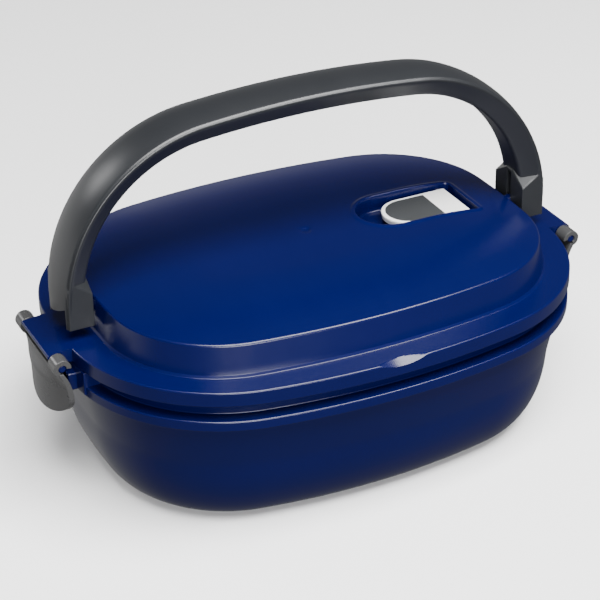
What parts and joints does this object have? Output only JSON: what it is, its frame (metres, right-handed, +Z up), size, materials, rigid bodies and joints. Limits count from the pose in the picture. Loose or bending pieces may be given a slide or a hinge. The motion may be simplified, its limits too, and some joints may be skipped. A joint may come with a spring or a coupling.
{
  "type": "electric lunch box",
  "caption": "Oval heated tub with a steel tray, a clip-down domed lid with a hinged vent flap, end latches and an arched swing handle.",
  "frame": {"origin": "on the table, under the middle of the tub", "axes": "+Z up, +X along the length towards the vent, -Y towards the front edge with the finger scoop"},
  "size_m": [0.2512, 0.174, 0.1608],
  "materials": {
    "blue_body": "satin gloss",
    "blue_lid": "satin gloss",
    "inner_housing": "fine matt",
    "underside": "fine grain",
    "foot_rubber": "matt",
    "screw_steel": "plain",
    "plate_aluminium": "turned",
    "gasket_rubber": "matt",
    "heater_ceramic": "matt ceramic",
    "clamp_steel": "plain",
    "thermostat_body": "moulded",
    "fuse_body": "sleeved",
    "socket_black": "fine matt",
    "pin_brass": "bright",
    "wire_red": "soft",
    "wire_blue": "soft",
    "lead_sleeve": "braided",
    "tray_steel": "satin",
    "liner_plastic": "fine matt",
    "seal_silicone": "translucent matt",
    "white_flap": "satin",
    "grey_pad": "satin",
    "grey_handle": "satin",
    "grey_latch": "satin gloss"
  },
  "bodies": {
    "base": {"tub_shell": "blue_body", "heat_well": "inner_housing", "bottom_cover": "underside", "foot_front_left": "foot_rubber", "foot_front_right": "foot_rubber", "foot_back_left": "foot_rubber", "foot_back_right": "foot_rubber", "cover_screw_left": "screw_steel", "cover_screw_right": "screw_steel", "cover_screw_front": "screw_steel", "cover_screw_back": "screw_steel", "heating_plate": "plate_aluminium", "plate_gasket": "gasket_rubber", "heater_block": "heater_ceramic", "heater_clamp": "clamp_steel", "clamp_screw_left": "screw_steel", "clamp_screw_right": "screw_steel", "thermostat": "thermostat_body", "thermal_fuse": "fuse_body", "inlet_socket": "socket_black", "inlet_pin_left": "pin_brass", "inlet_pin_right": "pin_brass", "wire_live": "wire_red", "wire_neutral": "wire_blue", "heater_lead_back": "lead_sleeve", "heater_lead_front": "lead_sleeve"},
    "tray": {"food_tray": "tray_steel"},
    "lid": {"lid_shell": "blue_lid", "lid_liner": "liner_plastic", "lid_seal": "seal_silicone", "vent_pin": "screw_steel"},
    "handle": {"handle": "grey_handle"},
    "latch_left": {"latch_left": "grey_latch"},
    "latch_right": {"latch_right": "grey_latch"},
    "vent_flap": {"vent_flap": "white_flap", "vent_pad": "grey_pad", "vent_plug": "seal_silicone"}
  },
  "joints": [
    {"name": "tray_lift", "type": "slide", "parent": "base", "child": "tray", "axis": [0, 0, 1], "range_m": [0, 0.075]},
    {"name": "lid_lift", "type": "slide", "parent": "tray", "child": "lid", "axis": [0, 0, 1], "range_m": [0, 0.12]},
    {"name": "handle_swing", "type": "hinge", "parent": "lid", "child": "handle", "pos_m": [0, 0, 0.0825], "axis": [1, 0, 0], "range_deg": [-25, 25]},
    {"name": "latch_left_hinge", "type": "hinge", "parent": "lid", "child": "latch_left", "pos_m": [-0.1216, 0, 0.0689], "axis": [0, 1, 0], "range_deg": [0, 65]},
    {"name": "latch_right_hinge", "type": "hinge", "parent": "lid", "child": "latch_right", "pos_m": [0.1216, 0, 0.0689], "axis": [0, -1, 0], "range_deg": [0, 65]},
    {"name": "vent_hinge", "type": "hinge", "parent": "lid", "child": "vent_flap", "pos_m": [0.0736, 0, 0.0877], "axis": [0, 1, 0], "range_deg": [0, 60]}
  ]
}
